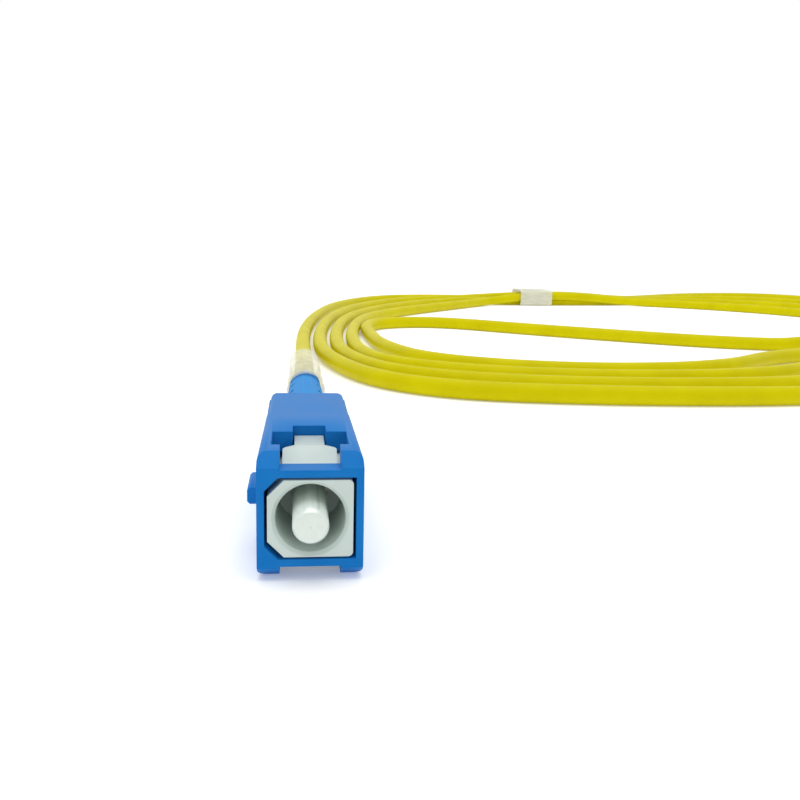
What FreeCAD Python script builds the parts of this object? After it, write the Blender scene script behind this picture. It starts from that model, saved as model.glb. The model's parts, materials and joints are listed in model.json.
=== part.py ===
"""SC fibre patch cord: two push-pull plugs joined by one coiled 3 mm cable.

Millimetres. The origin is on the ferrule axis of the near plug, in the front plane of its grip
housing. The plug faces -Y, its cable leaves towards +Y, +Z is up and the key is on the -X side.
The grip housings lie on their flat undersides, so the surface under the cord is at z = -GRIP_H / 2.
The far plug is the near plug moved by FAR_PLUG.
"""
import FreeCAD, Part
import math
import os

V = FreeCAD.Vector
AXIS = V(0, 1, 0)

# ---- driving dimensions -------------------------------------------------------------------------
# grip housing: the push-pull outer shell
GRIP_W = 7.4                # across X at the front face
GRIP_H = 9.0                # across Z
GRIP_L = 25.2
GRIP_DRAFT = 0.16           # each side narrows by this much from the front to the grip zone
GRIP_ZONE = 15.6            # where the finger grip begins
GRIP_STEP = 0.06            # the grip zone is this much lower all round
GRIP_REAR_DRAFT = 0.06      # further narrowing over the grip zone
EDGE_R = 0.6
CAVITY_HALF_W = 3.18
CAVITY_HALF_H = 2.92
CAVITY_CHAMFER = 0.95       # on the key side only
CAVITY_STEP = 13.3          # the cavity is narrower behind this
REAR_CAVITY_HALF_W = 2.85
BAR_TOP = 3.45              # cross bar between the two front rails
BAR_L = 1.95
RAMP_FOOT = 3.58            # height of the rails' front edge
RAMP_L = 1.45
RAIL_INNER = 2.15           # half the gap between the rails
RAIL_END = 3.4
POCKET_OUTER = 2.8
WINDOW_END = 7.7
NOTCH_HALF_W = 1.27
NOTCH_END = 9.9
KEY_TIP = 4.6
KEY_LOW = -0.4
KEY_HIGH = 0.85
KEY_START = 5.0
KEY_END = 9.5
RIB_COUNT = 8
RIB_PITCH = 1.1
RIB_START = 16.6
RIB_W = 0.5                 # the side ribs stand up to the level in front of the grip zone

# plug frame: the inner body that latches in an adapter
FRAME_HALF_W = 2.97
FRAME_HALF_H = 2.75
FRAME_CHAMFER = 1.15        # on the key side only
FRAME_CORNER_R = 0.35       # on the other side
FRAME_STEP = 13.2           # full width in front of this
FRAME_REAR_HALF_W = 2.7
FRAME_L = 17.5
BORE_R = 2.45
BORE_DEPTH = 7.2
WALL_END = 7.6
FERRULE_HOLE_R = 1.35
CHAMBER_R = 2.35
LATCH_HALF_W = 2.0
LATCH_FOOT = 3.7
LATCH_TOP = 3.72
LATCH_CREST = 5.7           # the slope reaches LATCH_TOP here
LATCH_SHOULDER = 6.5
LATCH_FLARE = 0.95          # length of the slanted corners between the wedge and its neck
NECK_HALF_W = 1.13
NECK_END = 9.75
SNAP_TIP = 3.3
SNAP_START = 12.0
SNAP_HALF_H = 1.0
TRAVEL = 2.0                # push-pull travel of the grip housing on the plug frame

# ferrule, its metal flange and the spring behind it
FERRULE_R = 1.25
FERRULE_TIP = -1.87
FERRULE_CHAMFER = 0.35
FERRULE_SEAT = 7.15         # thinner behind this, where the flange is pressed on
FERRULE_SEAT_R = 1.0
FERRULE_END = 8.4
FLANGE_R = 2.2
FLANGE_START = 7.65
FLANGE_END = 9.4
TUBE_R = 1.0
TUBE_END = 14.0
TUBE_BORE_R = 0.55
SPRING_R = 1.62
WIRE = 0.4
SPRING_START = 9.42
SPRING_END = 14.88
SPRING_TURNS = 4
SPRING_STEPS = 8            # straight steps in a turn

# parts that hold the cable
STOP_START = 14.9
STOP_FRONT_R = 2.28
STOP_FLANGE_R = 2.6
STOP_FLANGE_END = 19.0
STEM_R = 1.6
STEM_END = 24.0
STEM_BORE_R = 1.25
CRIMP_START = 19.3
CRIMP_R = 2.1               # over the hexagon's corners
CRIMP_NECK_R = 1.8
CRIMP_END = 27.0
YARN_R = 1.72
CABLE_R = 1.5
BUFFER_R = 0.45
JACKET_START = 24.2

# strain relief boot
BOOT_START = 19.1
BOOT_BASE_R = 2.6
BOOT_SHOULDER = 26.0
BOOT_WAIST = 37.0
BOOT_WAIST_R = 2.3
BOOT_END = 58.0
BOOT_END_R = 1.95
BOOT_SLOTS = 4
BOOT_SLOT_PITCH = 4.8
BOOT_SLOT_W = 1.0
BOOT_SLOT_ARC = 100         # degrees round each side of the boot
BOOT_SLOT_START = 33.0

# cable
FLOOR = -GRIP_H / 2
FAR_PLUG = V(188, -18, 0)
LYING = FLOOR + CABLE_R     # centre height of cable that lies on the surface
OVER = 3.2                  # centre height of cable that passes over the coil
STACK = 3.04                # centre distance of two turns that touch

COIL_SIDES = 60             # straight sides of the coil's plain solid
COIL_SWING = 2.8            # room for the cable's swing between the outline points

# The coil goes round clockwise from its left side and spirals inwards. Each outline point gives
# where the cable would be at the outside of the coil, and where it would be COIL_TURNS later.
COIL_TURNS = 4
COIL_OUTLINE = [
    ((0.2, 104), (14.5, 110)), ((-0.2, 146), (14.4, 150)), ((2.5, 190), (21, 192)),
    ((10, 240), (38, 214)), ((27, 277), (58, 238)), ((52, 285), (72, 264)),
    ((80, 278), (84, 269.5)), ((104, 280), (104, 272)), ((130, 290), (126, 276)),
    ((176, 334), (148, 252)), ((226, 346), (164, 226)), ((240, 280), (173, 198)),
    ((212, 190), (168, 164)), ((178, 130), (150, 132)), ((132, 82), (97, 118)),
    ((92, 59), (76, 96)), ((46, 58), (48, 91)), ((11, 64), (24, 102)),
]
LEAD = [(0, BOOT_END, 0), (0, 78, -0.9), (0.2, 104, LYING)]
TAIL = [
    (16.5, 124, LYING), (15.7, 148, LYING), (16, 170.5, LYING), (25.4, 180.5, LYING),
    (39.1, 181.3, LYING), (58.4, 165, LYING), (79, 150, LYING), (98, 138, LYING),
    (117, 133.5, LYING), (137, 138, OVER), (168, 110, OVER), (188, 82, 1.2),
    (188, BOOT_END - 18, 0),
]
SLEEVE_START = V(0.1, 52, 0.05)     # clear protective sleeve on the end of the boot and the cable
SLEEVE_END = V(0.1, 84, -0.9)
SLEEVE_R = 2.4
SLEEVE_BORE_R = 2.2
TIE_X = 88                  # film tie round the far side of the coil
TIE_W = 12
TIE_FILM = 0.3
STACK_FROM = 70             # between these two the turns are pressed together, two high
STACK_TO = 132
STACK_TOP = LYING + 2.4 + CABLE_R


# ---- shape helpers ------------------------------------------------------------------------------
def box(x0, x1, y0, y1, z0, z1):
    return Part.makeBox(x1 - x0, y1 - y0, z1 - z0, V(x0, y0, z0))


def rod(radius, y0, y1, x=0, z=0):
    return Part.makeCylinder(radius, y1 - y0, V(x, y0, z), AXIS)


def extruded(points, direction):
    corners = [V(*p) for p in points]
    return Part.Face(Part.makePolygon(corners + corners[:1])).extrude(direction)


def turned(profile):
    """Solid of revolution about the Y axis from (radius, y) points."""
    face = Part.Face(Part.makePolygon([V(r, y, 0) for r, y in profile + profile[:1]]))
    return face.revolve(V(0, 0, 0), AXIS, 360)


def both_ways_up(shape):
    """The shape and its mirror image in the horizontal plane, as one."""
    return shape.fuse(shape.mirror(V(0, 0, 0), V(0, 0, 1)))


def lengthwise_edges(shape, half_h):
    """Edges along the length, on the top and bottom faces."""
    def runs_along(edge):
        ends = [v.Point for v in edge.Vertexes]
        level = all(abs(abs(p.z) - half_h) < 1e-6 for p in ends)
        return len(ends) == 2 and level and abs(ends[0].y - ends[1].y) > abs(ends[0].x - ends[1].x)
    return [edge for edge in shape.Edges if runs_along(edge)]


def drafted_block(front_half, rear_half, half_h, y0, y1, edge_r=EDGE_R):
    """Block whose sides taper towards the rear, with its four long edges rounded."""
    outline = [(-front_half, y0, -half_h), (front_half, y0, -half_h),
               (rear_half, y1, -half_h), (-rear_half, y1, -half_h)]
    block = extruded(outline, V(0, 0, 2 * half_h))
    return block.makeFillet(edge_r, lengthwise_edges(block, half_h))


def bend(corner, before, after):
    """Arc that rounds a corner: start, end, centre, axis, turn and radius.

    The arc takes 0.45 of the corner's shorter run on each side.
    """
    back = before - corner
    ahead = after - corner
    trim = 0.45 * min(back.Length, ahead.Length)
    turn = math.pi - back.getAngle(ahead)
    radius = trim / math.tan(turn / 2)
    axis = ahead.cross(back)
    back.normalize()
    ahead.normalize()
    axis.normalize()
    inward = back + ahead
    inward.normalize()
    centre = corner + inward * (radius / math.cos(turn / 2))
    return corner + back * trim, corner + ahead * trim, centre, axis, turn, radius


def tube(points, radius):
    """Round tube along straight runs joined by tangent arcs; also its length and its arc radii."""
    def section(at, direction):
        return Part.Face(Part.Wire(Part.makeCircle(radius, at, direction)))

    corners = [V(*p) for p in points]
    pieces = []
    radii = []
    length = 0
    start = corners[0]
    for before, corner, after in zip(corners, corners[1:], corners[2:]):
        arc_start, arc_end, centre, axis, turn, bend_r = bend(corner, before, after)
        pieces.append(section(start, arc_start - start).extrude(arc_start - start))
        arc_section = section(arc_start, arc_start - start)
        pieces.append(arc_section.revolve(centre, axis, math.degrees(turn)))
        radii.append(bend_r)
        length += (arc_start - start).Length + bend_r * turn
        start = arc_end
    last = corners[-1] - start
    pieces.append(section(start, last).extrude(last))
    return pieces[0].fuse(pieces[1:]), length + last.Length, radii


# ---- grip housing -------------------------------------------------------------------------------
def grip_housing():
    """Outer shell with ramped rails, T-shaped windows, a key and a ribbed finger grip."""
    front_half = GRIP_W / 2
    middle_half = front_half - GRIP_DRAFT
    zone_half = middle_half - GRIP_STEP
    rear_half = zone_half - GRIP_REAR_DRAFT
    zone_half_h = GRIP_H / 2 - GRIP_STEP
    shell = drafted_block(front_half, middle_half, GRIP_H / 2, 0, GRIP_ZONE)
    shell = shell.fuse(drafted_block(zone_half, rear_half, zone_half_h, GRIP_ZONE, GRIP_L))
    ribs = []
    for i in range(RIB_COUNT):
        y = RIB_START + i * RIB_PITCH
        flat_half_h = zone_half_h - EDGE_R
        ribs.append(box(-middle_half, middle_half, y, y + RIB_W, -flat_half_h, flat_half_h))
    shell = shell.fuse(ribs + [key()])
    shell = shell.cut(grip_cavity())
    shell = shell.cut(both_ways_up(rail_cuts()))
    for side in (-1, 1):
        shell = shell.cut(snap_recess(side))
    return shell.removeSplitter()


def key():
    """Guide key on the -X wall, bevelled along its outer edges and at both ends."""
    root = GRIP_W / 2 - 0.3
    bevel = 0.2
    outline = [(-root, KEY_LOW), (-KEY_TIP + bevel, KEY_LOW), (-KEY_TIP, KEY_LOW + bevel),
               (-KEY_TIP, KEY_HIGH - bevel), (-KEY_TIP + bevel, KEY_HIGH), (-root, KEY_HIGH)]
    bar = extruded([(x, KEY_START, z) for x, z in outline], V(0, KEY_END - KEY_START, 0))
    side = [(-root, KEY_START - 1, -2), (-KEY_TIP - 1, KEY_START + 0.65, -2),
            (-KEY_TIP - 1, KEY_END, -2), (-root, KEY_END, -2)]
    return bar.common(extruded(side, V(0, 0, 4)))


def grip_cavity():
    w = CAVITY_HALF_W
    h = CAVITY_HALF_H
    c = CAVITY_CHAMFER
    section = [(-w + c, -h), (w, -h), (w, h), (-w + c, h), (-w, h - c), (-w, -h + c)]
    front = extruded([(x, -1, z) for x, z in section], V(0, CAVITY_STEP + 1, 0))
    rear = box(-REAR_CAVITY_HALF_W, REAR_CAVITY_HALF_W, CAVITY_STEP - 1, GRIP_L + 1, -h, h)
    return front.fuse(rear)


def rail_cuts():
    """What is cut from the top: ramps, cross bar step, T-shaped window and locking notch."""
    top = GRIP_H / 2 + 1
    under = CAVITY_HALF_H - 0.2
    wide = GRIP_W
    slope = (GRIP_H / 2 - RAMP_FOOT) / RAMP_L
    ramp = extruded([(-wide, -1, RAMP_FOOT - slope), (-wide, RAMP_L + 1, GRIP_H / 2 + slope),
                     (-wide, RAMP_L + 1, top + 1), (-wide, -1, top + 1)], V(2 * wide, 0, 0))
    bar_step = box(-RAIL_INNER, RAIL_INNER, -1, BAR_L + 0.1, BAR_TOP, top)
    window = box(-RAIL_INNER, RAIL_INNER, BAR_L, WINDOW_END, under, top)
    pockets = box(-POCKET_OUTER, POCKET_OUTER, RAIL_END, WINDOW_END, under, top)
    notch = box(-NOTCH_HALF_W, NOTCH_HALF_W, BAR_L, NOTCH_END, under, top)
    return ramp.fuse([bar_step, window, pockets, notch])


def snap_recess(side):
    """Pocket inside a side wall, in which the plug frame's snap tab travels."""
    x = sorted([side * (CAVITY_HALF_W - 0.5), side * (SNAP_TIP + 0.08)])
    front = SNAP_START - TRAVEL - 0.1
    return box(x[0], x[1], front, CAVITY_STEP, -SNAP_HALF_H - 0.2, SNAP_HALF_H + 0.2)


# ---- plug frame ---------------------------------------------------------------------------------
def frame_block(half_w, length):
    """Block of the frame's section: chamfered edges on the key side, round ones on the other."""
    h = FRAME_HALF_H
    c = FRAME_CHAMFER
    section = [(-half_w + c, -h), (half_w, -h), (half_w, h), (-half_w + c, h),
               (-half_w, h - c), (-half_w, -h + c)]
    block = extruded([(x, 0, z) for x, z in section], V(0, length, 0))
    round_edges = [e for e in lengthwise_edges(block, h) if e.Vertexes[0].X > half_w - 0.1]
    return block.makeFillet(FRAME_CORNER_R, round_edges)


def plug_frame():
    """Inner body: deep round bore at the front, spring chamber behind, latch wedges, snap tabs."""
    front = frame_block(FRAME_HALF_W, FRAME_STEP)
    rear = frame_block(FRAME_REAR_HALF_W, FRAME_L)
    latch = both_ways_up(latch_wedge())
    body = front.fuse([rear, latch, snap_tab(-1), snap_tab(1)])
    body = body.cut(rod(BORE_R, -1, BORE_DEPTH))
    body = body.cut(turned([(0, -1), (BORE_R + 1.25, -1), (BORE_R, 0.25), (0, 0.25)]).common(
        rod(BORE_R + 0.25, -1, 1)))
    body = body.cut(rod(FERRULE_HOLE_R, 0, FRAME_L))
    body = body.cut(rod(CHAMBER_R, WALL_END, FRAME_L + 1))
    for side in (-1, 1):
        slot_x = side * 1.72
        body = body.cut(box(slot_x - 0.3, slot_x + 0.3, BORE_DEPTH - 0.1, WALL_END + 0.1, 0.1, 1.1))
        body = body.cut(box(*sorted([side * 2, side * 4]), 15.0, 16.4, -0.9, 0.9))
    return body.removeSplitter()


def latch_wedge():
    """Wedge that an adapter's latch arm rides up, its shoulder, and the neck behind it."""
    base = FRAME_HALF_H - 0.1
    wedge = extruded([(-LATCH_HALF_W, LATCH_FOOT, base), (-LATCH_HALF_W, LATCH_SHOULDER, base),
                      (-LATCH_HALF_W, LATCH_SHOULDER, LATCH_TOP),
                      (-LATCH_HALF_W, LATCH_CREST, LATCH_TOP),
                      (-LATCH_HALF_W, LATCH_FOOT, FRAME_HALF_H)], V(2 * LATCH_HALF_W, 0, 0))
    full = LATCH_SHOULDER - LATCH_FLARE
    plan = [(-LATCH_HALF_W, LATCH_FOOT - 1), (LATCH_HALF_W, LATCH_FOOT - 1), (LATCH_HALF_W, full),
            (NECK_HALF_W, LATCH_SHOULDER), (-NECK_HALF_W, LATCH_SHOULDER), (-LATCH_HALF_W, full)]
    wedge = wedge.common(extruded([(x, y, base - 1) for x, y in plan], V(0, 0, 4)))
    neck = box(-NECK_HALF_W, NECK_HALF_W, LATCH_SHOULDER - 0.1, NECK_END, base, LATCH_TOP)
    return wedge.fuse(neck)


def snap_tab(side):
    """Small hook on a side of the frame that keeps the grip housing on."""
    outline = [(2.8, SNAP_START), (3.05, SNAP_START), (SNAP_TIP, SNAP_START + 0.6),
               (SNAP_TIP, FRAME_STEP), (2.8, FRAME_STEP)]
    return extruded([(side * x, y, -SNAP_HALF_H) for x, y in outline], V(0, 0, 2 * SNAP_HALF_H))


# ---- ferrule assembly ---------------------------------------------------------------------------
def ferrule():
    tip_r = FERRULE_R - FERRULE_CHAMFER * 0.6
    return turned([(0, FERRULE_TIP), (tip_r, FERRULE_TIP),
                   (FERRULE_R, FERRULE_TIP + FERRULE_CHAMFER), (FERRULE_R, FERRULE_SEAT),
                   (FERRULE_SEAT_R, FERRULE_SEAT), (FERRULE_SEAT_R, FERRULE_END), (0, FERRULE_END)])


def ferrule_flange():
    """Metal flange pressed on the ferrule, with a buffer tube behind and two tuning notches."""
    body = turned([(FERRULE_SEAT_R, FLANGE_START), (FLANGE_R, FLANGE_START), (FLANGE_R, FLANGE_END),
                   (TUBE_R, FLANGE_END), (TUBE_R, TUBE_END), (TUBE_BORE_R, TUBE_END),
                   (TUBE_BORE_R, FERRULE_END), (FERRULE_SEAT_R, FERRULE_END)])
    for side in (-1, 1):
        x = sorted([side * (FLANGE_R - 0.4), side * (FLANGE_R + 1)])
        body = body.cut(box(x[0], x[1], FLANGE_START - 1, FLANGE_END + 1, -0.35, 0.35))
    return body


def ferrule_spring():
    """Compression spring, its helix in short straight steps and its wire square, to stay light."""
    h = WIRE / 2
    rise = SPRING_END - SPRING_START - WIRE
    steps = SPRING_STEPS * SPRING_TURNS

    def section(i):
        angle = 2 * math.pi * i / SPRING_STEPS
        out = V(math.cos(angle), 0, math.sin(angle))
        centre = out * SPRING_R + V(0, SPRING_START + h + rise * i / steps, 0)
        corners = [centre + out * a + AXIS * b for a, b in ((-h, -h), (h, -h), (h, h), (-h, h))]
        return Part.makePolygon(corners + corners[:1])
    return Part.makeLoft([section(i) for i in range(steps + 1)], True, True)


# ---- cable retention ----------------------------------------------------------------------------
def stop_ring():
    """Turned ring that snaps into the plug frame, backs the spring and carries the crimp stem."""
    body = turned([(STEM_BORE_R, STOP_START), (STOP_FRONT_R, STOP_START),
                   (STOP_FRONT_R, FRAME_L), (STOP_FLANGE_R, FRAME_L),
                   (STOP_FLANGE_R, STOP_FLANGE_END), (STEM_R, STOP_FLANGE_END),
                   (STEM_R, STEM_END), (STEM_BORE_R, STEM_END)])
    boss = box(-2.6, 2.6, 15.1, 16.3, -0.8, 0.8).cut(rod(STOP_FRONT_R - 0.3, 15, 17))
    return body.fuse(boss)


def crimp_sleeve():
    """Metal sleeve, pressed to a hexagon over the yarn on the stem and round on the cable jacket."""
    hexagon = [(CRIMP_R * math.cos(math.pi * i / 3), CRIMP_START, CRIMP_R * math.sin(math.pi * i / 3))
               for i in range(6)]
    body = extruded(hexagon, V(0, JACKET_START - CRIMP_START, 0))
    body = body.fuse(rod(CRIMP_NECK_R, JACKET_START, CRIMP_END))
    return body.cut(rod(YARN_R, CRIMP_START - 1, JACKET_START)).cut(
        rod(CABLE_R, JACKET_START - 1, CRIMP_END + 1))


def aramid_yarn():
    """Strength member, folded back over the stem under the crimp sleeve."""
    return turned([(STEM_R, CRIMP_START), (YARN_R, CRIMP_START), (YARN_R, STEM_END), (STEM_R, STEM_END)])


def buffer_fibre():
    return rod(BUFFER_R, TUBE_END - 3, JACKET_START)


def jacket_end():
    """End of the cable jacket, gripped by the crimp sleeve inside the boot."""
    return rod(CABLE_R, JACKET_START, BOOT_END)


def strain_relief_boot():
    """Moulded boot that tapers onto the cable, with slots in both sides that let it bend."""
    bore = CABLE_R + 0.03
    boot = turned([(CRIMP_R + 0.03, BOOT_START), (BOOT_BASE_R, BOOT_START),
                   (BOOT_BASE_R, BOOT_SHOULDER), (BOOT_BASE_R - 0.2, BOOT_SHOULDER + 1.2),
                   (BOOT_WAIST_R, BOOT_WAIST), (BOOT_END_R, BOOT_END - 1.2),
                   (BOOT_END_R - 0.1, BOOT_END - 0.4), (BOOT_END_R - 0.35, BOOT_END),
                   (bore, BOOT_END), (bore, CRIMP_END + 0.2),
                   (CRIMP_R + 0.03, CRIMP_END + 0.2)])
    inner_r = bore - 0.1
    for i in range(BOOT_SLOTS):
        y = BOOT_SLOT_START + i * BOOT_SLOT_PITCH
        for side in (0, 180):
            corners = [V(inner_r, y, 0), V(3, y, 0), V(3, y + BOOT_SLOT_W, 0),
                       V(inner_r, y + BOOT_SLOT_W, 0)]
            face = Part.Face(Part.makePolygon(corners + corners[:1]))
            slot = face.revolve(V(0, 0, 0), AXIS, BOOT_SLOT_ARC)
            slot.rotate(V(0, 0, 0), AXIS, side - BOOT_SLOT_ARC / 2)
            boot = boot.cut(slot)
    return boot


# ---- cable --------------------------------------------------------------------------------------
def coil_point(turn, i):
    """Centre of the cable at outline point i of a turn; odd turns ride up where they are squeezed."""
    outside = V(*COIL_OUTLINE[i][0], LYING)
    inwards = V(*COIL_OUTLINE[i][1], LYING) - outside
    spacing = inwards.Length / COIL_TURNS
    lift = math.sqrt(max(0, STACK ** 2 - spacing ** 2)) if turn % 2 else 0
    return outside + inwards * ((turn + i / len(COIL_OUTLINE)) / COIL_TURNS) + V(0, 0, lift)


def coil_edge(turn, margin):
    """Closed smooth curve on the surface, beside one turn of the coil.

    The cable rounds its route points off: it passes an eighth of the way to each neighbour.
    """
    count = len(COIL_OUTLINE)
    route = [V(p.x, p.y, FLOOR) for p in (coil_point(turn, i) for i in range(count))]
    middle = sum(route, V()) * (1 / count)
    points = []
    for i, p in enumerate(route):
        smooth = (route[i - 1] + p * 6 + route[(i + 1) % count]) * 0.125
        across = smooth - middle
        points.append(middle + across * (1 + margin / across.Length))
    curve = Part.BSplineCurve()
    curve.interpolate(Points=points, PeriodicFlag=True)
    return Part.makePolygon(curve.discretize(Number=COIL_SIDES + 1))


def cable_sleeve():
    along = SLEEVE_END - SLEEVE_START
    outer = Part.makeCylinder(SLEEVE_R, along.Length, SLEEVE_START, along)
    return outer.cut(Part.makeCylinder(SLEEVE_BORE_R, along.Length, SLEEVE_START, along))


def cable_coil():
    """The turns of the coil as one flat ring, twice as high where they are tied together."""
    outer = Part.Face(coil_edge(0, CABLE_R + COIL_SWING))
    inner = Part.Face(coil_edge(COIL_TURNS - 1, -CABLE_R))
    ring = outer.cut(inner)
    low = ring.extrude(V(0, 0, 2 * CABLE_R))
    high = ring.extrude(V(0, 0, STACK_TOP - FLOOR))
    high = high.common(box(STACK_FROM, STACK_TO, 200, 400, FLOOR, STACK_TOP))
    return low.fuse(high).removeSplitter()


def coil_tie(coil):
    """Film band round the whole stack of turns."""
    x0 = TIE_X - TIE_W / 2
    film = TIE_FILM
    held = coil.common(box(x0, x0 + TIE_W, 200, 400, FLOOR, STACK_TOP)).BoundBox
    top = STACK_TOP + 0.1
    band = box(x0, x0 + TIE_W, held.YMin - film, held.YMax + film, FLOOR, top + film)
    hole = box(x0 - 1, x0 + TIE_W + 1, held.YMin, held.YMax, FLOOR + film, top)
    return band.cut(hole)


def report_tube(name, shape, length, radii):
    area = shape.Volume / length
    print(f"{name}: {length:.1f} mm, section {area:.3f} of {math.pi * CABLE_R ** 2:.3f} mm2,",
          "arc radii", [round(r, 1) for r in radii])


# ---- build --------------------------------------------------------------------------------------
PLUG_PARTS = {
    "grip_housing": grip_housing,
    "plug_frame": plug_frame,
    "ferrule": ferrule,
    "ferrule_flange": ferrule_flange,
    "ferrule_spring": ferrule_spring,
    "stop_ring": stop_ring,
    "crimp_sleeve": crimp_sleeve,
    "aramid_yarn": aramid_yarn,
    "buffer_fibre": buffer_fibre,
    "jacket_end": jacket_end,
    "strain_relief_boot": strain_relief_boot,
}

# The far plug holds its cable in the same way, and these five are one solid there.
ANCHOR_PARTS = ["stop_ring", "crimp_sleeve", "aramid_yarn", "buffer_fibre", "jacket_end"]


def save(name, shape):
    if not shape.isValid():
        print("INVALID", name)
    shape.exportStep(f"parts/{name}.step")
    facets = len(shape.tessellate(0.05)[1])
    print(f"{name}: solids {len(shape.Solids)}, volume {shape.Volume:.1f} mm3, facets {facets}")


def main():
    os.makedirs("parts", exist_ok=True)
    near = {name: make() for name, make in PLUG_PARTS.items()}
    for name, shape in near.items():
        save("near_" + name, shape)
        if name not in ANCHOR_PARTS:
            save("far_" + name, shape.translated(FAR_PLUG))
    anchor = near[ANCHOR_PARTS[0]].fuse([near[name] for name in ANCHOR_PARTS[1:]])
    save("far_cable_anchor", anchor.removeSplitter().translated(FAR_PLUG))

    lead, length, radii = tube(LEAD, CABLE_R)
    save("cable_lead", lead)
    report_tube("cable_lead", lead, length, radii)

    last = coil_point(COIL_TURNS - 1, len(COIL_OUTLINE) - 1)
    tail, length, radii = tube([tuple(last)] + TAIL, CABLE_R)
    save("cable_tail", tail)
    report_tube("cable_tail", tail, length, radii)

    save("cable_sleeve", cable_sleeve())

    coil = cable_coil()
    tie = coil_tie(coil)
    save("cable_coil", coil.cut(tie))
    save("coil_tie", tie)


main()
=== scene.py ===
# %% [markdown]
# # An SC fibre plug on its coiled cable
#
# The object is a simplex fibre patch cord. Each end is an SC plug: a blue housing that slides on a
# pale plug frame, a white ceramic ferrule deep in a round bore, and a rubber boot that lets go of a
# yellow 3 mm cable. The cable lies in a loose coil behind the plug, held by a clear film tie.
#
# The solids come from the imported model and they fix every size. This file gives them their look.

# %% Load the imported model
import bpy
import json
import math
from mathutils import Euler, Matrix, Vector

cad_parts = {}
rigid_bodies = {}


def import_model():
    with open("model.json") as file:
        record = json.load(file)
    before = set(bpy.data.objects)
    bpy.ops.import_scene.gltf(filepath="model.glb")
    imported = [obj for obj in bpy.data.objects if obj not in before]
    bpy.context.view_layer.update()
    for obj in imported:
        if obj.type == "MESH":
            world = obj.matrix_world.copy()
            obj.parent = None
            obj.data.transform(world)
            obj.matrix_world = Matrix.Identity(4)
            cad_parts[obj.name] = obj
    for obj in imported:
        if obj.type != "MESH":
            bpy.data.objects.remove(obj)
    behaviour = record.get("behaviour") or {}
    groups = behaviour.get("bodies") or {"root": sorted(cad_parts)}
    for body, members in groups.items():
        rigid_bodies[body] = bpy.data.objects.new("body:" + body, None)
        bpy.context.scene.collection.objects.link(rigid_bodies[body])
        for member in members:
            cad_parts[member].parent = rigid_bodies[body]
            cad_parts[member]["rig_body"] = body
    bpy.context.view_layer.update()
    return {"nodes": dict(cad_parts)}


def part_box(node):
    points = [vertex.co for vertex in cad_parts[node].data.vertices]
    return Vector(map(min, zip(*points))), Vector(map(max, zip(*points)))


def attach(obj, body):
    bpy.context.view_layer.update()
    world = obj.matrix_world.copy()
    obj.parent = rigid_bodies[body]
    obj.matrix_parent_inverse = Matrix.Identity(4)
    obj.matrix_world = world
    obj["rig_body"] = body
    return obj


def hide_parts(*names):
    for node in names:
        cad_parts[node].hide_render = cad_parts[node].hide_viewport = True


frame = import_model()
nodes = frame["nodes"]
MM = 0.001

# %% [markdown]
# ## Sizes that the looks need
#
# The housing lies on its flat underside, so the lowest point of the near housing is the table. The
# other values are read off the solids in the same way, and nothing is typed in twice.

# %% Places from the solids
housing_low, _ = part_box("near_grip_housing")
tie_low, tie_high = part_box("coil_tie")
far_low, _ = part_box("far_grip_housing")
TABLE = housing_low[2]
CABLE_R = 1.5 * MM
FAR_SHIFT = Vector(far_low) - Vector(housing_low)
print("table at", round(TABLE / MM, 2), "mm, far plug moved by", [round(v / MM, 1) for v in FAR_SHIFT])

# %% [markdown]
# ## A small language for materials
#
# A finish is a sum of noises, masks and colours. Written as nodes it is long, and written as Python
# expressions it is short. `Value` wraps the socket that carries a number, and each operator adds
# one Math node. `Finish.node` makes every other node: its type, its settings, then its inputs.

# %% Value: numbers that flow between nodes
class Value:
    def __init__(self, finish, socket):
        self.finish = finish
        self.socket = socket

    def math(self, operation, *others):
        return self.finish.node("ShaderNodeMath", {"operation": operation},
                                dict(enumerate((self, *others))))

    def __add__(self, other):
        return self.math("ADD", other)

    __radd__ = __add__

    def __mul__(self, other):
        return self.math("MULTIPLY", other)

    __rmul__ = __mul__

    def __sub__(self, other):
        return self.math("SUBTRACT", other)

    def __rsub__(self, other):
        return self.finish.node("ShaderNodeMath", {"operation": "SUBTRACT"}, {0: other, 1: self})

    def above(self, level, softness):
        """0 below the level, 1 above it, with a soft step between."""
        settings = {"interpolation_type": "SMOOTHSTEP"}
        return self.finish.node("ShaderNodeMapRange", settings,
                                {0: self, 1: level - softness, 2: level + softness})


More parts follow.
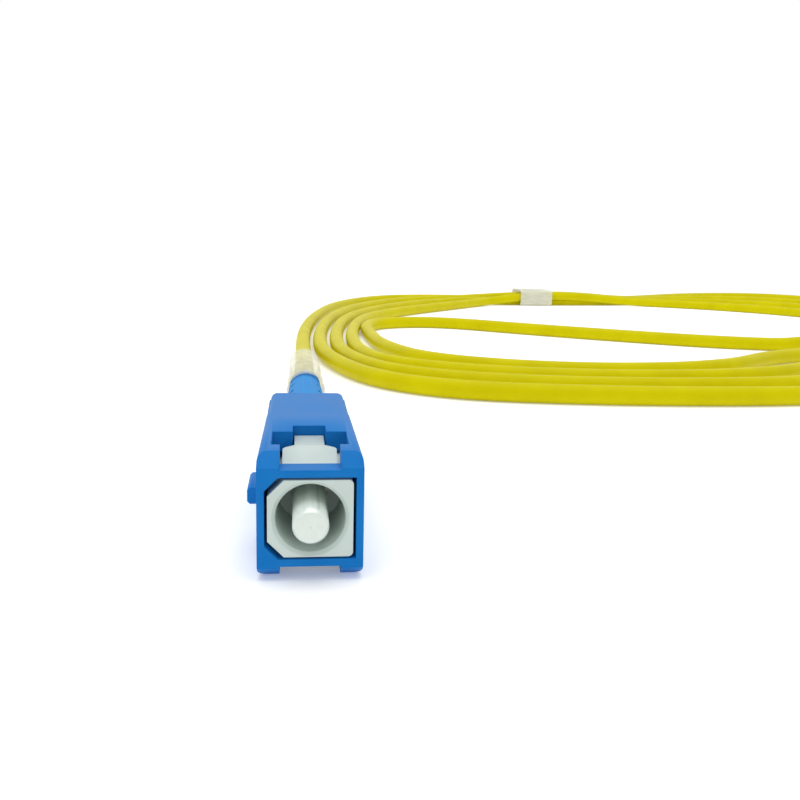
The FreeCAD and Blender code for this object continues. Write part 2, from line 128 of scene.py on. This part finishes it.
# %% Finish: one material
class Finish:
    """A Principled material whose constant sockets are set directly."""

    def __init__(self, name, **constants):
        self.material = bpy.data.materials.new(name)
        self.material.use_nodes = True
        self.tree = self.material.node_tree
        self.shader = self.tree.nodes["Principled BSDF"]
        for socket, value in constants.items():
            self.shader.inputs[socket.replace("_", " ")].default_value = value
        self.places = self.node("ShaderNodeTexCoord", {}, {}, "Object")

    def node(self, kind, settings, inputs, output=0):
        made = self.tree.nodes.new(kind)
        for name, value in settings.items():
            setattr(made, name, value)
        for key, value in inputs.items():
            if isinstance(value, Value):
                self.tree.links.new(value.socket, made.inputs[key])
            else:
                made.inputs[key].default_value = value
        return Value(self, made.outputs[output])

    def noise(self, size, detail=3.0, stretch=(1, 1, 1)):
        """Noise from 0 to 1 whose blobs are about that many millimetres, stretched along an axis."""
        places = self.node("ShaderNodeMapping", {},
                           {"Vector": self.places, "Scale": [1 / s for s in stretch]})
        return self.node("ShaderNodeTexNoise", {},
                         {"Vector": places, "Scale": 1 / (size * MM), "Detail": detail})

    def axis(self, letter):
        """The place along one axis, in millimetres."""
        return self.node("ShaderNodeSeparateXYZ", {}, {0: self.places}, letter) * (1 / MM)

    def blend(self, amount, first, second):
        return self.node("ShaderNodeMix", {"data_type": "RGBA"}, {0: amount, 6: first, 7: second}, 2)

    def set(self, socket, value):
        self.tree.links.new(value.socket, self.shader.inputs[socket])

    def bump(self, height, distance_mm, strength=0.3):
        self.set("Normal", self.node("ShaderNodeBump", {},
                                     {"Height": height, "Distance": distance_mm * MM,
                                      "Strength": strength}))


def srgb(red, green, blue):
    """A colour given as 0 to 255 display values, as the linear values that shaders use."""
    def linear(v):
        v = v / 255
        return v / 12.92 if v <= 0.04045 else ((v + 0.055) / 1.055) ** 2.4
    return (linear(red), linear(green), linear(blue), 1)


print("material language ready")

# %% [markdown]
# ## Blue moulded plastic
#
# The housing is PBT from a spark-eroded mould: a very fine even grain that softens highlights, with
# slow changes of gloss where the melt flowed and cooled. Grain is a bump far smaller than an edge,
# and flow is a stretched noise that moves only the roughness and a breath of colour.

# %% Blue housing plastic
def moulded_plastic(name, dark, light, rough, grain_mm, **constants):
    finish = Finish(name, **constants)
    flow = finish.noise(2.6, 2.0, stretch=(1, 3, 1))
    grain = finish.noise(grain_mm, 2.0)
    finish.set("Base Color", finish.blend(flow.above(0.5, 0.35), dark, light))
    finish.set("Roughness", rough + (flow - 0.5) * 0.12 + (grain - 0.5) * 0.05)
    finish.bump(grain, 0.012, 0.35)
    return finish.material


housing_blue = moulded_plastic("blue_housing_plastic", srgb(22, 114, 190), srgb(30, 122, 198),
                               0.42, 0.05, IOR=1.5, Specular_IOR_Level=0.04)
boot_blue = moulded_plastic("blue_boot_rubber", srgb(30, 132, 206), srgb(44, 142, 214),
                            0.55, 0.09, IOR=1.48, Specular_IOR_Level=0.09)
frame_pale = moulded_plastic("pale_frame_plastic", srgb(198, 212, 206), srgb(205, 217, 212),
                             0.38, 0.05, IOR=1.5, Specular_IOR_Level=0.4)
buffer_white = moulded_plastic("buffer_white", srgb(232, 232, 226), srgb(240, 240, 236),
                               0.4, 0.06, IOR=1.48)
print("plastics:", housing_blue.name, boot_blue.name, frame_pale.name, buffer_white.name)

# %% [markdown]
# ## Ceramic, metals and yarn
#
# The ferrule is zirconia, ground and polished: nearly white, very smooth, with a sharp reflection.
# In the middle of its end sits the glass fibre, about an eighth of a millimetre across. That spot
# is a mask on the distance from the ferrule's axis, so it needs no image texture.

# %% Zirconia with the fibre's end
def zirconia(name, centre):
    finish = Finish(name, IOR=2.1, Specular_IOR_Level=0.4)
    along_x = finish.axis("X") - centre[0] / MM
    along_z = finish.axis("Z") - centre[2] / MM
    from_axis = (along_x * along_x + along_z * along_z).math("SQRT")
    fibre = 1 - from_axis.above(0.075, 0.012)
    haze = finish.noise(0.5, 3.0)
    ceramic = finish.blend(haze.above(0.5, 0.3), srgb(214, 226, 217), srgb(222, 232, 224))
    finish.set("Base Color", finish.blend(fibre, ceramic, srgb(206, 217, 209)))
    finish.set("Roughness", 0.16 + haze * 0.08)
    return finish.material


near_zirconia = zirconia("zirconia_near", (0, 0, 0))
far_zirconia = zirconia("zirconia_far", FAR_SHIFT)


# %% Metals and yarn
def turned_metal(name, colour, rough, ring_mm):
    """Metal with the fine rings that a lathe tool or drawing die leaves along Y."""
    finish = Finish(name, Metallic=1.0)
    rings = finish.noise(ring_mm, 2.0, stretch=(8, 1, 8))
    stain = finish.noise(1.6, 2.0)
    worn = tuple(c * 0.86 for c in colour[:3]) + (1,)
    finish.set("Base Color", finish.blend(stain.above(0.55, 0.3), colour, worn))
    finish.set("Roughness", rough + rings * 0.12)
    finish.bump(rings, 0.01, 0.3)
    return finish.material


nickel = turned_metal("nickel_brass", srgb(205, 200, 190), 0.2, 0.08)
spring_steel = turned_metal("spring_steel", srgb(190, 192, 196), 0.22, 0.05)
crimp_metal = turned_metal("crimp_metal", srgb(200, 200, 202), 0.3, 0.1)


def yarn(name):
    finish = Finish(name, Sheen_Weight=0.4)
    strands = finish.noise(0.09, 3.0, stretch=(1, 14, 1))
    finish.set("Base Color", finish.blend(strands, srgb(196, 158, 60), srgb(236, 206, 110)))
    finish.set("Roughness", 0.6 + strands * 0.2)
    finish.bump(strands, 0.04, 0.6)
    return finish.material


aramid = yarn("aramid")
print("ceramic, metal and yarn ready")

# %% [markdown]
# ## Yellow cable jacket
#
# The jacket is PVC pulled off an extruder: smooth, a little waxy, with faint swells a few
# millimetres long and the shallow dimples of the yarn underneath.

# %% Cable jacket
def jacket(name):
    finish = Finish(name, IOR=1.5, Specular_IOR_Level=0.05)
    swell = finish.noise(6.0, 2.0)
    yarn_dimples = finish.noise(0.7, 3.0)
    finish.set("Base Color", finish.blend(swell.above(0.5, 0.3), srgb(203, 193, 0), srgb(212, 203, 2)))
    finish.set("Roughness", 0.42 + (yarn_dimples - 0.5) * 0.16)
    finish.bump(yarn_dimples, 0.03, 0.25)
    return finish.material


cable_yellow = jacket("cable_jacket")
print("jacket:", cable_yellow.name)

# %% [markdown]
# ## Clear film
#
# The tie and the sleeve are frosted clear film. Light passes, so what shows is a milky veil with
# bright folds: the veil is a transparency mask, thick where the folds are.

# %% Clear film
def clear_film(name, veil, folds_along):
    finish = Finish(name, IOR=1.46)
    folds = finish.noise(1.1, 3.0, stretch=folds_along)
    finish.set("Base Color", finish.blend(folds, srgb(226, 226, 196), srgb(244, 244, 236)))
    finish.set("Roughness", 0.3 + folds * 0.25)
    finish.set("Alpha", veil + folds * 0.3)
    finish.bump(folds, 0.08, 0.5)
    return finish.material


sleeve_film = clear_film("clear_film", 0.2, (1, 5, 1))
tie_film = clear_film("clear_tie_film", 0.45, (4, 1, 1))
print("films:", sleeve_film.name, tie_film.name)

# %% [markdown]
# ## Camera
#
# The camera looks down on the plug's nose at about ten degrees, close enough for strong
# perspective, and turned a little to the right so that the coil fills that side. It is held about
# one degree off level, which sets the plug's front face upright in the view.

# %% Camera
TURNED_RIGHT = math.radians(6.615)
TIPPED_DOWN = math.radians(10.244)
ROLLED = math.radians(1.258)
camera_data = bpy.data.cameras.new("camera")
camera_data.sensor_width = 36
camera_data.lens = 39.98
camera_data.clip_start = 0.002
camera = bpy.data.objects.new("camera", camera_data)
bpy.context.scene.collection.objects.link(camera)
camera.location = (-0.82 * MM, -59.13 * MM, 19.11 * MM)
turn = Euler((0, 0, -TURNED_RIGHT)).to_matrix()
tip = Euler((math.pi / 2 - TIPPED_DOWN, 0, 0)).to_matrix()
roll = Euler((0, 0, ROLLED)).to_matrix()
camera.rotation_euler = (turn @ tip @ roll).to_euler()
bpy.context.scene.camera = camera
print("camera", [round(v / MM, 1) for v in camera.location], "mm, lens", camera_data.lens)

# %% [markdown]
# ## The cable
#
# A free cable is one smooth line. It leaves the boot, sinks to the table and makes four turns. They
# lie side by side in front, press together at the tie and fan out beyond it. Then the cable doubles
# back across the ring, passes over the turns in a low hump and ends in the far plug. The points are
# those of the solids' route, and a NURBS curve of order 3 runs smoothly past them.
#
# Each outline point gives where the cable would be at the outside of the coil, and where it would be
# after all the turns. A turn's point lies between the two, so one loop works out the whole spiral.
# Where neighbours come closer than a diameter, every other turn is lifted onto them.

# %% Route of the cable
COIL_TURNS = 4
LYING = TABLE / MM + 1.5
OVER = 3.2
STACK = 3.04
COIL_OUTLINE = [
    ((0.2, 104), (14.5, 110)), ((-0.2, 146), (14.4, 150)), ((2.5, 190), (21, 192)),
    ((10, 240), (38, 214)), ((27, 277), (58, 238)), ((52, 285), (72, 264)),
    ((80, 278), (84, 269.5)), ((104, 280), (104, 272)), ((130, 290), (126, 276)),
    ((176, 334), (148, 252)), ((226, 346), (164, 226)), ((240, 280), (173, 198)),
    ((212, 190), (168, 164)), ((178, 130), (150, 132)), ((132, 82), (97, 118)),
    ((92, 59), (76, 96)), ((46, 58), (48, 91)), ((11, 64), (24, 102)),
]
LEAD = [(0, 58, 0), (0, 78, -0.9)]
TAIL = [
    (16.5, 124, LYING), (15.7, 148, LYING), (16, 170.5, LYING), (25.4, 180.5, LYING),
    (39.1, 181.3, LYING), (58.4, 165, LYING), (79, 150, LYING), (98, 138, LYING),
    (117, 133.5, LYING), (137, 138, OVER), (168, 110, OVER), (188, 82, 1.2), (188, 40, 0),
]


def coil_point(turn, i):
    outside = Vector((*COIL_OUTLINE[i][0], LYING))
    inwards = Vector((*COIL_OUTLINE[i][1], LYING)) - outside
    spacing = inwards.length / COIL_TURNS
    lift = math.sqrt(max(0, STACK ** 2 - spacing ** 2)) if turn % 2 else 0
    place = outside + inwards * ((turn + i / len(COIL_OUTLINE)) / COIL_TURNS)
    return (place.x, place.y, LYING + lift)


turns = [coil_point(turn, i) for turn in range(COIL_TURNS) for i in range(len(COIL_OUTLINE))]
route = [Vector(p) * MM for p in LEAD + turns + TAIL]
print(len(route), "points on the route")

# %% Cable
cable_data = bpy.data.curves.new("cable", "CURVE")
cable_data.dimensions = "3D"
cable_data.bevel_depth = CABLE_R
cable_data.bevel_resolution = 6
cable_data.resolution_u = 8
cable_data.use_fill_caps = True
line = cable_data.splines.new("NURBS")
line.points.add(len(route) - 1)
for point, place in zip(line.points, route):
    point.co = (*place, 1)
line.order_u = 3
line.use_endpoint_u = True
cable = bpy.data.objects.new("cable", cable_data)
bpy.context.scene.collection.objects.link(cable)
cable.data.materials.append(cable_yellow)
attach(cable, "cord_set")
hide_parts("cable_lead", "cable_coil", "cable_tail")
print("cable of", len(line.points), "control points")

# %% [markdown]
# ## Crisp mouldings from the solids
#
# The solids have knife edges, and a moulded edge always has a small radius that catches light. A
# copy of each shown node is merged, its flat regions are dissolved to single faces, and a Bevel
# modifier rounds every real edge. Curved walls are then shaded smooth by angle.

# %% Helper: a finished copy of a node
def deselect_all():
    if bpy.context.object and bpy.context.object.mode != "OBJECT":
        bpy.ops.object.mode_set(mode="OBJECT")
    bpy.ops.object.select_all(action="DESELECT")


def make_active(piece):
    deselect_all()
    piece.select_set(True)
    bpy.context.view_layer.objects.active = piece


def finished_copy(node, material, edge_mm, steps=2):
    source = nodes[node]
    piece = bpy.data.objects.new(node + "_finished", source.data.copy())
    bpy.context.scene.collection.objects.link(piece)
    make_active(piece)
    bpy.ops.object.mode_set(mode="EDIT")
    bpy.ops.mesh.select_all(action="SELECT")
    bpy.ops.mesh.remove_doubles(threshold=0.002 * MM)
    bpy.ops.mesh.dissolve_limited(angle_limit=math.radians(1))
    bpy.ops.object.mode_set(mode="OBJECT")
    if edge_mm:
        bevel = piece.modifiers.new("moulded edge", "BEVEL")
        bevel.width = edge_mm * MM
        bevel.segments = steps
        bevel.limit_method = "ANGLE"
        bevel.angle_limit = math.radians(32)
        bevel.use_clamp_overlap = True
        bpy.ops.object.modifier_apply(modifier=bevel.name)
    bpy.ops.object.shade_smooth_by_angle(angle=math.radians(32))
    piece.data.materials.clear()
    piece.data.materials.append(material)
    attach(piece, source["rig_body"])
    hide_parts(node)
    return piece


# %% Finished plug parts
EDGES = {
    "grip_housing": (housing_blue, 0.07),
    "plug_frame": (frame_pale, 0.05),
    "ferrule_flange": (nickel, 0.04),
    "strain_relief_boot": (boot_blue, 0.09),
}
finished = {}
for end in ("near", "far"):
    for part, (material, edge_mm) in EDGES.items():
        finished[end, part] = finished_copy(f"{end}_{part}", material, edge_mm)
    ceramic = near_zirconia if end == "near" else far_zirconia
    finished[end, "ferrule"] = finished_copy(f"{end}_ferrule", ceramic, 0.05)
print("finished:", ", ".join(piece.name for piece in finished.values()))

# %% Materials for the solids that stay as they are
KEPT = {
    "near_ferrule_spring": spring_steel,
    "far_ferrule_spring": spring_steel,
    "near_stop_ring": nickel,
    "far_cable_anchor": nickel,
    "near_crimp_sleeve": crimp_metal,
    "near_aramid_yarn": aramid,
    "near_buffer_fibre": buffer_white,
    "near_jacket_end": cable_yellow,
}
for name, material in KEPT.items():
    nodes[name].data.materials.clear()
    nodes[name].data.materials.append(material)
print("kept:", ", ".join(KEPT))

# %% [markdown]
# ## Film sleeve and film tie
#
# The sleeve is a thin tube that hugs the boot's end: a circle pushed along the cable in steps, each
# step pinched or let out a little, then given the film's thickness. The tie is a band: a block
# without its two ends, its long edges rounded as film rounds a bundle.

# %% Helper: a finished film piece
FILM_MM = 0.16


def film_piece(name, material, node):
    """Finishes the active object: film thickness inwards, smooth shading, and its place in the model."""
    piece = bpy.context.object
    piece.name = name
    wall = piece.modifiers.new("film", "SOLIDIFY")
    wall.thickness = FILM_MM * MM
    wall.offset = -1
    bpy.ops.object.modifier_apply(modifier=wall.name)
    bpy.ops.object.shade_smooth_by_angle(angle=math.radians(40))
    bpy.ops.object.transform_apply(location=True, rotation=True, scale=True)
    piece.data.materials.append(material)
    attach(piece, nodes[node]["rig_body"])
    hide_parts(node)
    return piece


# %% Sleeve
SLEEVE_START = Vector((0.1, 52, 0.05)) * MM
SLEEVE_END = Vector((0.1, 84, -0.9)) * MM
SLEEVE_R = 2.4 * MM
PINCHES = (0.97, 1.02, 0.98, 1.0, 1.015, 0.975, 1.01, 1.02)
sleeve_along = SLEEVE_END - SLEEVE_START
sleeve_turn = sleeve_along.to_track_quat("Z", "Y").to_euler()
deselect_all()
bpy.ops.mesh.primitive_circle_add(vertices=48, radius=SLEEVE_R, location=SLEEVE_START,
                                  rotation=sleeve_turn)
bpy.ops.object.mode_set(mode="EDIT")
bpy.ops.mesh.select_all(action="SELECT")
step = sleeve_along / len(PINCHES)
for number, pinch in enumerate(PINCHES):
    bpy.ops.mesh.extrude_region_move(TRANSFORM_OT_translate={"value": step})
    here = SLEEVE_START + step * (number + 1)
    bpy.ops.transform.resize(value=(pinch, 1, pinch), center_override=here)
bpy.ops.mesh.select_all(action="SELECT")
bpy.ops.mesh.normals_make_consistent(inside=False)
bpy.ops.object.mode_set(mode="OBJECT")
sleeve = film_piece("cable_sleeve_film", sleeve_film, "cable_sleeve")
print("sleeve of", len(sleeve.data.polygons), "faces")

# %% Tie
TIE_ROUNDING = 1.9 * MM
tie_size = Vector(tie_high) - Vector(tie_low)
tie_middle = (Vector(tie_high) + Vector(tie_low)) / 2
deselect_all()
bpy.ops.mesh.primitive_cube_add(size=1, location=tie_middle, scale=tie_size)
bpy.ops.object.transform_apply(location=False, rotation=False, scale=True)
band = bpy.context.object
bpy.ops.object.mode_set(mode="EDIT")
bpy.ops.mesh.select_mode(type="FACE")
bpy.ops.mesh.select_all(action="DESELECT")
bpy.ops.object.mode_set(mode="OBJECT")
for face in band.data.polygons:
    face.select = abs(face.normal.x) > 0.9
bpy.ops.object.mode_set(mode="EDIT")
bpy.ops.mesh.delete(type="ONLY_FACE")
bpy.ops.mesh.select_mode(type="EDGE")
bpy.ops.mesh.select_all(action="DESELECT")
bpy.ops.object.mode_set(mode="OBJECT")
for edge in band.data.edges:
    first, second = (band.data.vertices[v].co for v in edge.vertices)
    edge.select = abs(first.x - second.x) > 0.9 * tie_size.x
bpy.ops.object.mode_set(mode="EDIT")
bpy.ops.mesh.bevel(offset=TIE_ROUNDING, segments=6, affect="EDGES")
bpy.ops.object.mode_set(mode="OBJECT")
tie = film_piece("coil_tie_film", tie_film, "coil_tie")
print("tie of", len(tie.data.polygons), "faces")

far_plug = [finished["far", part] for part in (*EDGES, "ferrule")]
far_plug += [nodes["far_ferrule_spring"], nodes["far_cable_anchor"]]

# %% [markdown]
# ## Floor, world and lamps
#
# A white sweep with no visible edge. The floor is white, glows faintly so that shadows stay light,
# and fades out round the object. The glow is not held back to the eye, as the world's white is, so
# it also lights the object a little from below. The world is white to the eye and to reflections.
# The light is plain and soft, a little stronger from above than from the sides.

# %% Floor
deselect_all()
bpy.ops.mesh.primitive_plane_add(size=6, location=(0, 0, TABLE))
floor = bpy.context.object
floor.name = "floor"
floor_finish = Finish("floor", Roughness=0.9, Specular_IOR_Level=0.1, Emission_Strength=0.22,
                      Emission_Color=(1, 1, 1, 1))
paper = floor_finish.noise(300, 2.0)
floor_finish.set("Base Color", floor_finish.blend(paper, (0.93, 0.93, 0.93, 1), (0.95, 0.95, 0.95, 1)))
FLOOR_MIDDLE_Y = 100
FLOOR_REACH = 330
FLOOR_FADE = 80
out_x = floor_finish.axis("X")
out_y = floor_finish.axis("Y") - FLOOR_MIDDLE_Y
from_middle = (out_x * out_x + out_y * out_y).math("SQRT")
floor_finish.set("Alpha", 1 - from_middle.above(FLOOR_REACH, FLOOR_FADE))
floor.data.materials.append(floor_finish.material)
print("floor fades out", FLOOR_REACH, "mm from its middle")

# %% World
world = bpy.data.worlds.new("world")
bpy.context.scene.world = world
world.use_nodes = True
world_nodes = world.node_tree.nodes
world_links = world.node_tree.links
ambient = world_nodes["Background"]
ambient.inputs["Color"].default_value = (1, 1, 1, 1)
ambient.inputs["Strength"].default_value = 0.6
white = world_nodes.new("ShaderNodeBackground")
white.inputs["Color"].default_value = (1, 1, 1, 1)
white.inputs["Strength"].default_value = 1
rays = world_nodes.new("ShaderNodeLightPath")
seen = rays.outputs["Is Camera Ray"]
for ray in ("Is Glossy Ray", "Is Transmission Ray"):
    either = world_nodes.new("ShaderNodeMath")
    either.operation = "MAXIMUM"
    world_links.new(seen, either.inputs[0])
    world_links.new(rays.outputs[ray], either.inputs[1])
    seen = either.outputs[0]
mix = world_nodes.new("ShaderNodeMixShader")
world_links.new(seen, mix.inputs[0])
world_links.new(ambient.outputs[0], mix.inputs[1])
world_links.new(white.outputs[0], mix.inputs[2])
world_links.new(mix.outputs[0], world_nodes["World Output"].inputs["Surface"])
print("world light", round(ambient.inputs["Strength"].default_value, 2))

# %% Lamps
def soft_lamp(name, place, target, size, watts):
    data = bpy.data.lights.new(name, "AREA")
    data.shape = "SQUARE"
    data.size = size
    data.energy = watts
    lamp = bpy.data.objects.new(name, data)
    lamp.location = place
    lamp.rotation_euler = (Vector(target) - Vector(place)).to_track_quat("-Z", "Y").to_euler()
    bpy.context.scene.collection.objects.link(lamp)
    return lamp


soft_lamp("overhead", (0.02, 0.1, 0.9), (0.04, 0.08, 0), 0.9, 5.0)
soft_lamp("front_left", (-0.5, -0.6, 0.5), (0, 0, 0), 0.5, 0.5)

# %% Colour
bpy.context.scene.view_settings.view_transform = "Standard"
